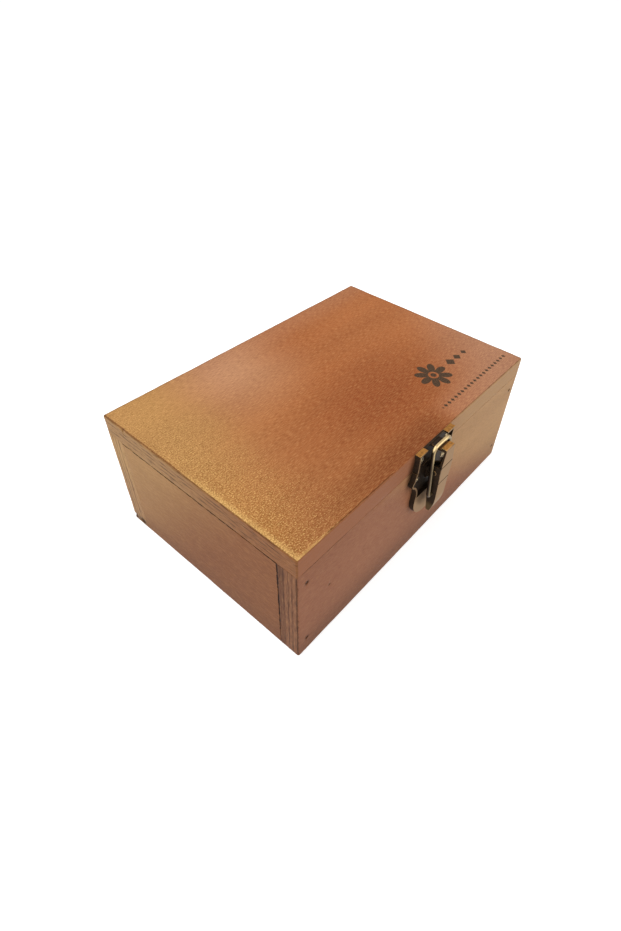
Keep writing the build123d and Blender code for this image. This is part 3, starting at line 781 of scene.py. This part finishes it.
def antique(name, raised_from, raised_to, grooves=()):
    """Antique bronze. It is rubbed where it stands out past these places on Y, and on its edges.
    There its faces that look out along Y are also painted lighter, as lit, than its side walls,
    which stay dark as painted shade.

    Grooves are the distances down from the top at which a dark line crosses what stands furthest out.
    """
    made, tree, where, normal = material_of(name)
    mottle = speckle(tree, where, (700.0, 700.0, 700.0), 4.0, 0.65)
    grime = speckle(tree, where, (260.0, 260.0, 260.0), 3.0, 0.6)
    facing = split(tree, normal)
    place = split(tree, where)
    # Faces that look out along Y are rubbed, and painted lighter than the side walls as lit.
    outward = ease(tree, calc(tree, "ABSOLUTE", facing[1]), 0.35, 0.8)
    face = times(tree, outward, ease(tree, place[1], raised_from, raised_to))
    face = times(tree, face, ease(tree, mottle, 0.15, 0.42, 0.7, 1.0))
    if grooves:
        # The left side of what stands furthest out is painted darker, as shade.
        furthest = ease(tree, place[1], proud(6.0 * MM), proud(6.6 * MM))
        across = calc(tree, "MULTIPLY_ADD", calc(tree, "SUBTRACT", grime, 0.5), 3.0 * MM, place[0])
        unshaded_share = ease(tree, across, -4.3 * MM, -3.1 * MM, 0.25, 1.0)
        face = times(tree, face, calc(tree, "MAXIMUM", unshaded_share, calc(tree, "SUBTRACT", 1.0, furthest)))
    edge = add(tree, "ShaderNodeAttribute", {}, attribute_name="rubbed").outputs["Fac"]
    edge = times(tree, edge, ease(tree, grime, 0.3, 0.55, 0.55, 1.0))
    # The ears' and the hook's up-facing tops are painted gold as lit from above, with painted
    # glints on their edges, but the recess between them is dark.
    beside = ease(tree, calc(tree, "ABSOLUTE", place[0]), EARS_FROM - 0.3 * MM, EARS_FROM)
    hooked = ease(tree, place[1], proud(4.0 * MM), proud(5.0 * MM))
    tops = calc(tree, "MAXIMUM", beside, hooked)
    high = times(tree, tops, ease(tree, place[2], top - 0.35 * MM, top - 0.2 * MM))
    painted_light_gold = times(tree, ease(tree, facing[2], 0.3, 0.6), high, ease(tree, mottle, 0.3, 0.6, 0.5, 1.0))
    glint = times(tree, edge, high, ease(tree, facing[2], 0.2, 0.6), ease(tree, grime, 0.42, 0.56))
    tone = mix(tree, ease(tree, mottle, 0.46, 0.74, 0.0, 0.5), BRONZE_DARK, BRONZE_MID)
    tone = mix(tree, edge, tone, BRONZE_EDGE)
    tone = mix(tree, painted_light_gold, tone, BRONZE_LIT_GOLD)
    tone = mix(tree, face, tone, BRONZE_RUBBED)
    tone = mix(tree, glint, tone, BRONZE_GLINT)
    worn = calc(tree, "MAXIMUM", calc(tree, "MAXIMUM", edge, painted_light_gold), face)
    for down in grooves:
        outer = ease(tree, place[1], proud(6.3 * MM), proud(7.0 * MM))
        line = times(tree, band(tree, place[2], top - down, 0.15 * MM, 0.2 * MM), outer, 0.95)
        tone = mix(tree, line, tone, BRONZE_DARK)
    if grooves:
        # The lever's curled tip is dull and olive, and painted darker as in shade.
        low = ease(tree, place[2], top - 28.5 * MM, top - 31.5 * MM)
        curled_tip_shade = times(tree, low, ease(tree, place[1], proud(4.0 * MM), proud(4.4 * MM)), 0.9)
        tone = mix(tree, curled_tip_shade, tone, BRONZE_SHADED_OLIVE)
    rough = ease(tree, worn, 0.2, 0.8, 0.62, 0.38)
    metal = ease(tree, worn, 0.15, 0.8, 0.0, 0.75)
    bump = add(tree, "ShaderNodeBump", {"Height": mottle, "Strength": 0.25, "Distance": 0.05 * MM})
    surface(tree, {
        "Base Color": tone, "Roughness": rough, "Metallic": metal, "Normal": bump.outputs[0],
        "Specular IOR Level": 0.3, "Specular Tint": (0.85, 0.7, 0.55, 1.0),
    })
    return made


def eased(name, node, width):
    """A node's sheet metal with its outer edges rounded, and the rounded places marked as rubbed."""
    made = bmesh.new()
    made.from_mesh(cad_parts[node].data)
    bmesh.ops.remove_doubles(made, verts=made.verts, dist=0.002 * MM)
    bmesh.ops.dissolve_limit(made, angle_limit=math.radians(1.0), verts=made.verts, edges=made.edges)
    sharp = []
    for edge in made.edges:
        if len(edge.link_faces) == 2 and edge.is_convex and edge.calc_face_angle() > math.radians(35):
            sharp.append(edge)
    rounded = bmesh.ops.bevel(
        made, geom=sharp, offset=width, offset_type="OFFSET", segments=2, profile=0.5, affect="EDGES",
        clamp_overlap=True,
    )
    rubbed = made.loops.layers.float.new("rubbed")
    for face in rounded["faces"]:
        for corner in face.loops:
            corner[rubbed] = 1.0
    piece = finished(name, made)
    piece.data.set_sharp_from_angle(angle=math.radians(38))
    piece.modifiers.new("flat_faces", "WEIGHTED_NORMAL").keep_sharp = True
    return settled(piece)


def settled(piece):
    """The piece with its modifiers worked into its mesh."""
    bpy.context.view_layer.update()
    shape = bpy.data.meshes.new_from_object(piece.evaluated_get(bpy.context.evaluated_depsgraph_get()))
    piece.modifiers.clear()
    piece.data = shape
    shape.name = piece.name
    return piece


front_bronze = antique("front_bronze", proud(1.3 * MM), proud(2.0 * MM), GROOVES_DOWN)
back_bronze = antique("back_bronze", half_width + 0.3 * MM, half_width + 0.7 * MM)
for name, node, body, width in (
    ("catch", "catch_plate", "lid", 0.22 * MM),
    ("latch_plate", "latch_base_plate", "box", 0.22 * MM),
    ("lever", "latch_lever", "lever", 0.25 * MM),
    ("lever_rivet", "lever_pin", "box", 0.12 * MM),
):
    dress(eased(name, node, width), front_bronze, body, node)

for name in ("left", "right"):
    for part, body in (("body", "box"), ("lid", "lid")):
        node = f"{name}_hinge_{part}_leaf"
        dress(eased(f"{name}_{part}_leaf", node, 0.15 * MM), back_bronze, body, node)
    node = f"{name}_hinge_pin"
    dress(eased(f"{name}_pin", node, 0.12 * MM), back_bronze, "box", node)


# Wire loop
# A bent bronze wire whose bar hooks over the catch and whose feet turn in the lever's walls.
# Its upper bends and the bar are rubbed bright by use and carry a painted highlight where they face out or
# up.
WIRE = 0.8 * MM
FOOT_BEND = 1.3 * MM
BAR_BEND = 2.2 * MM
WIRE_DARK = colour(42, 29, 19)
WIRE_RUBBED_HIGHLIGHT = colour(236, 206, 150)
# The steps in each half of a bend, and the sides of the wire
BEND_STEPS = 5
WIRE_SIDES = 16


def arc_corner(before, corner, after, radius):
    """Points round one bend of a wire."""
    back = (before - corner).normalized()
    ahead = (after - corner).normalized()
    half = back.angle(ahead) / 2
    reach = radius / math.tan(half)
    centre = corner + (back + ahead).normalized() * radius / math.sin(half)
    start = corner + back * reach - centre
    end = corner + ahead * reach - centre
    middle = (start + end).normalized() * radius
    first = [start.lerp(middle, step / BEND_STEPS) for step in range(BEND_STEPS)]
    second = [middle.lerp(end, step / BEND_STEPS) for step in range(BEND_STEPS + 1)]
    return [centre + spoke.normalized() * radius for spoke in first + second]


def tube(name, path, radius):
    """A round wire along a path in one plane, its ends rounded."""
    made = bmesh.new()
    rings = []
    side = None
    first = (path[0] - path[1]).normalized()
    final = (path[-1] - path[-2]).normalized()
    cap = [(math.sin(angle) * radius, math.cos(angle)) for angle in (0.4, 0.8, 1.15, 1.4)]
    stations = [(path[0] + first * far, near) for far, near in reversed(cap)]
    stations += [(point, 1.0) for point in path]
    stations += [(path[-1] + final * far, near) for far, near in cap]
    for index, (point, share) in enumerate(stations):
        behind = stations[max(0, index - 1)][0]
        ahead = stations[min(len(stations) - 1, index + 1)][0]
        direction = (ahead - behind).normalized()
        side = Vector((0, -1, 0)) if side is None else side
        side = (side - direction * side.dot(direction)).normalized()
        other = direction.cross(side)
        ring = []
        for turn in range(WIRE_SIDES):
            angle = 2 * math.pi * turn / WIRE_SIDES
            spoke = side * math.cos(angle) + other * math.sin(angle)
            ring.append(made.verts.new(point + spoke * radius * share))
        rings.append(ring)
    for first, second in zip(rings, rings[1:]):
        for turn in range(WIRE_SIDES):
            made.faces.new((first[turn - 1], first[turn], second[turn], second[turn - 1]))
    made.faces.new(rings[0])
    made.faces.new(list(reversed(rings[-1])))
    bmesh.ops.recalc_face_normals(made, faces=made.faces)
    return finished(name, made)


foot = Vector((0, proud(5.5 * MM), top - 24 * MM))
bar = Vector((0, proud(3.8 * MM), top + 0.55 * MM))
arm = Vector((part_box("latch_loop")[1].x - WIRE, 0, 0))
inner = Vector((2.2 * MM, 0, 0))
knots = [foot - inner, foot - arm, bar - arm, bar + arm, foot + arm, foot + inner]
route = [knots[0]]
for place, bend in enumerate((FOOT_BEND, BAR_BEND, BAR_BEND, FOOT_BEND), start=1):
    route += arc_corner(knots[place - 1], knots[place], knots[place + 1], bend)
route.append(knots[-1])
loop = tube("loop", route, WIRE)


def rubbed_wire(name):
    """Antique wire: pale gold on its bar and bends, dull brown along its arms.
    The pale gold is rubbed metal and a painted highlight where the wire faces out or up.
    """
    made, tree, where, normal = material_of(name)
    mottle = speckle(tree, where, (800.0, 800.0, 800.0), 4.0, 0.65)
    facing = split(tree, normal)
    place = split(tree, where)
    out = ease(tree, calc(tree, "MULTIPLY", facing[1], -1.0), 0.45, 0.95, 0.0, 0.6)
    up = ease(tree, facing[2], 0.2, 0.7)
    upper = ease(tree, place[2], top - 9 * MM, top - 2.5 * MM, 0.3, 1.0)
    left = ease(tree, place[0], 5.0 * MM, 2.0 * MM, 0.45, 1.0)
    patchy = ease(tree, mottle, 0.25, 0.5, 0.55, 1.0)
    # Rubbed metal and a painted highlight, where the wire faces out or up, most on its left.
    bright = times(tree, calc(tree, "MAXIMUM", out, up), upper, left, patchy)
    tone = mix(tree, bright, WIRE_DARK, WIRE_RUBBED_HIGHLIGHT)
    rough = ease(tree, mottle, 0.3, 0.7, 0.28, 0.42)
    surface(tree, {"Base Color": tone, "Roughness": rough, "Metallic": 0.8})
    return made


dress(loop, rubbed_wire("wire_bronze"), "loop", "latch_loop")


# Screws
# Small cross-head wood screws hold the latch plates and the hinge leaves, two to each plate.
# Their domes are rubbed and their recesses hold dark polish, and each was driven to its own angle.
def small_hardware(name, dark, bright, rough):
    """The metal of screws and nails: bright on what faces out, dark on what faces aside."""
    made, tree, where, normal = material_of(name)
    mottle = speckle(tree, where, (1500.0, 1500.0, 1500.0), 3.0, 0.6)
    outward = ease(tree, calc(tree, "ABSOLUTE", split(tree, normal)[1]), 0.2, 0.95)
    amount = times(tree, outward, ease(tree, mottle, 0.25, 0.6, 0.35, 1.0))
    tone = mix(tree, amount, dark, bright)
    surface(tree, {"Base Color": tone, "Roughness": rough, "Metallic": 0.8})
    return made


def fastener_tree():
    """One turned fastener at every point: a domed head, a straight shank and a cone tip.

    It is made along +Z with the underside of its head at the origin, then faced and twisted.
    """
    tree = bpy.data.node_groups.new("fasteners", "GeometryNodeTree")
    for name, kind in (
        ("Places", "NodeSocketGeometry"),
        ("Head radius", "NodeSocketFloat"),
        ("Head height", "NodeSocketFloat"),
        ("Shank radius", "NodeSocketFloat"),
        ("Length", "NodeSocketFloat"),
        ("Tip", "NodeSocketFloat"),
        ("Recess width", "NodeSocketFloat"),
        ("Recess depth", "NodeSocketFloat"),
        ("Has recess", "NodeSocketBool"),
        ("Facing", "NodeSocketRotation"),
        ("Seed", "NodeSocketInt"),
        ("Finish", "NodeSocketMaterial"),
    ):
        tree.interface.new_socket(name, in_out="INPUT", socket_type=kind)
    tree.interface.new_socket("Fasteners", in_out="OUTPUT", socket_type="NodeSocketGeometry")
    given = tree.nodes.new("NodeGroupInput").outputs
    radius, height = given["Head radius"], given["Head height"]
    share = tree.nodes.new("GeometryNodeSplineParameter").outputs["Factor"]

    def turned(start, end, count, reach, place=None):
        """A solid of revolution along Z, whose radius follows the share of its length."""
        ends = {
            "Start": add(tree, "ShaderNodeCombineXYZ", {"Z": start}).outputs[0],
            "End": add(tree, "ShaderNodeCombineXYZ", {"Z": end}).outputs[0],
        }
        line = add(tree, "GeometryNodeCurvePrimitiveLine", ends).outputs[0]
        line = add(tree, "GeometryNodeResampleCurve", {"Curve": line, "Count": count}).outputs[0]
        if place is not None:
            at = add(tree, "ShaderNodeCombineXYZ", {"Z": place}).outputs[0]
            line = add(tree, "GeometryNodeSetPosition", {"Geometry": line, "Position": at}).outputs[0]
        ring = add(tree, "GeometryNodeCurvePrimitiveCircle", {"Resolution": 28, "Radius": 1.0}).outputs[0]
        inputs = {"Curve": line, "Profile Curve": ring, "Scale": reach, "Fill Caps": True}
        solid = add(tree, "GeometryNodeCurveToMesh", inputs).outputs[0]
        inputs = {"Geometry": solid, "Distance": 0.004 * MM}
        return add(tree, "GeometryNodeMergeByDistance", inputs).outputs[0]

    # The dome is a cap of a sphere, with its rings at even angles.
    squares = calc(tree, "ADD", times(tree, radius, radius), times(tree, height, height))
    ball = calc(tree, "DIVIDE", squares, calc(tree, "MULTIPLY", height, 2.0))
    sunk = calc(tree, "SUBTRACT", ball, height)
    widest = calc(tree, "ARCCOSINE", calc(tree, "DIVIDE", sunk, ball))
    angle = times(tree, widest, calc(tree, "SUBTRACT", 1.0, share))
    dome_place = calc(tree, "SUBTRACT", times(tree, ball, calc(tree, "COSINE", angle)), sunk)
    dome_reach = calc(tree, "MAXIMUM", times(tree, ball, calc(tree, "SINE", angle)), 0.01 * MM)
    head = turned(0.0, height, 12, dome_reach, dome_place)
    # The recess is a cross of two bars, cut out of the dome.
    across = times(tree, radius, 1.2)
    deep = times(tree, given["Recess depth"], 2.0)
    cross = tree.nodes.new("GeometryNodeJoinGeometry")
    for sizes in ({"X": across, "Y": given["Recess width"]}, {"X": given["Recess width"], "Y": across}):
        size = add(tree, "ShaderNodeCombineXYZ", {**sizes, "Z": deep}).outputs[0]
        bar = add(tree, "GeometryNodeMeshCube", {"Size": size}).outputs[0]
        lift = add(tree, "ShaderNodeCombineXYZ", {"Z": height}).outputs[0]
        bar = add(tree, "GeometryNodeTransform", {"Geometry": bar, "Translation": lift}).outputs[0]
        tree.links.new(bar, cross.inputs[0])
    cut = add(tree, "GeometryNodeMeshBoolean", {0: head}, operation="DIFFERENCE", solver="EXACT")
    cut.inputs["Self Intersection"].default_value = True
    tree.links.new(cross.outputs[0], cut.inputs["Mesh 2"])
    picked = {"Switch": given["Has recess"], "False": head, "True": cut.outputs[0]}
    head = add(tree, "GeometryNodeSwitch", picked, input_type="GEOMETRY").outputs[0]
    # The shank tapers over the tip's share of its length.
    tip_share = calc(tree, "DIVIDE", given["Tip"], given["Length"])
    taper = calc(tree, "MINIMUM", calc(tree, "DIVIDE", share, tip_share), 1.0)
    shank_reach = times(tree, given["Shank radius"], calc(tree, "MAXIMUM", taper, 0.06))
    shank = turned(times(tree, given["Length"], -1.0), 0.0, 24, shank_reach)
    whole = tree.nodes.new("GeometryNodeJoinGeometry")
    tree.links.new(head, whole.inputs[0])
    tree.links.new(shank, whole.inputs[0])
    inputs = {"Points": given["Places"], "Instance": whole.outputs[0], "Rotation": given["Facing"]}
    set_out = add(tree, "GeometryNodeInstanceOnPoints", inputs).outputs[0]
    # Each one is turned by its own angle, up to half a turn. Input 3 is the most that it can be.
    inputs = {3: math.pi, "Seed": given["Seed"]}
    twist = add(tree, "FunctionNodeRandomValue", inputs, data_type="FLOAT").outputs[1]
    spin = add(tree, "ShaderNodeCombineXYZ", {"Z": twist}).outputs[0]
    spin = add(tree, "FunctionNodeEulerToRotation", {0: spin}).outputs[0]
    inputs = {"Instances": set_out, "Rotation": spin}
    set_out = add(tree, "GeometryNodeRotateInstances", inputs).outputs[0]
    real = add(tree, "GeometryNodeRealizeInstances", {"Geometry": set_out}).outputs[0]
    smooth = add(tree, "GeometryNodeSetShadeSmooth", {"Geometry": real}).outputs[0]
    inputs = {"Geometry": smooth, "Material": given["Finish"]}
    finish = add(tree, "GeometryNodeSetMaterial", inputs).outputs[0]
    out = tree.nodes.new("NodeGroupOutput")
    tree.links.new(finish, out.inputs[0])
    return tree


FASTENERS = fastener_tree()
SOCKETS = {item.name: item.identifier for item in FASTENERS.interface.items_tree if item.in_out == "INPUT"}


def pair_of_screws(node, head, face_y):
    """The places under the heads of a plate's two screws, from the box round both."""
    low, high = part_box(node)
    height = (low.z + high.z) / 2
    return [(x, face_y, height) for x in (low.x + head, high.x - head)]


def fasteners(node, body, places, out, seed, sizes, finish):
    """A node's fasteners, all alike, at these places. Their heads face out, 1 or -1 along Y."""
    mesh = bpy.data.meshes.new(node)
    mesh.from_pydata(places, [], [])
    piece = bpy.data.objects.new(node, mesh)
    bpy.context.scene.collection.objects.link(piece)
    modifier = piece.modifiers.new("fasteners", "NODES")
    modifier.node_group = FASTENERS
    values = {**sizes, "Facing": (out * math.radians(-90), 0.0, 0.0), "Seed": seed, "Finish": finish}
    for key, value in values.items():
        modifier[SOCKETS[key]] = value
    settled(piece)
    piece.data.set_sharp_from_angle(angle=math.radians(40))
    dress(piece, finish, body, node)


SCREW = {
    "Head radius": 1.9 * MM, "Head height": 1.3 * MM, "Shank radius": 0.9 * MM, "Length": 7.0 * MM,
    "Tip": 1.6 * MM, "Recess width": 0.5 * MM, "Recess depth": 0.7 * MM, "Has recess": True,
}
HINGE_SCREW = {**SCREW, "Head radius": 1.5 * MM, "Head height": 0.7 * MM}
screw_bronze = small_hardware("screw_bronze", colour(34, 24, 15), colour(176, 156, 122), 0.22)
SHEET = 0.8 * MM
for node, body, seed in (("catch_screws", "lid", 3), ("latch_base_screws", "box", 5)):
    places = pair_of_screws(node, SCREW["Head radius"], proud(SHEET))
    fasteners(node, body, places, -1.0, seed, SCREW, screw_bronze)
for side, part, body, seed in (
    ("left", "body", "box", 7),
    ("left", "lid", "lid", 8),
    ("right", "body", "box", 9),
    ("right", "lid", "lid", 10),
):
    node = f"{side}_hinge_{part}_screws"
    places = pair_of_screws(node, HINGE_SCREW["Head radius"], half_width + SHEET)
    fasteners(node, body, places, 1.0, seed, HINGE_SCREW, screw_bronze)


# Brads
# Plain headless nails, four through each long panel, set a little below the wood and left bare.
# Their ends have turned brown, so each shows as a small dark dot in its hole.
BRAD_SINK = 0.26 * MM
BRAD = {
    "Head radius": BRAD_RADIUS, "Head height": 0.1 * MM, "Shank radius": BRAD_RADIUS, "Length": 21.7 * MM,
    "Tip": 1.2 * MM, "Recess width": 0.1 * MM, "Recess depth": 0.1 * MM, "Has recess": False,
}
brad_steel = small_hardware("brad_steel", colour(30, 22, 18), colour(74, 58, 48), 0.5)
for node, out, seed in (("front_brads", -1.0, 11), ("back_brads", 1.0, 12)):
    sunk_y = out * (half_width - BRAD_SINK - BRAD["Head height"])
    places = [(x, sunk_y, z) for x, z in brad_places]
    fasteners(node, "box", places, out, seed, BRAD, brad_steel)
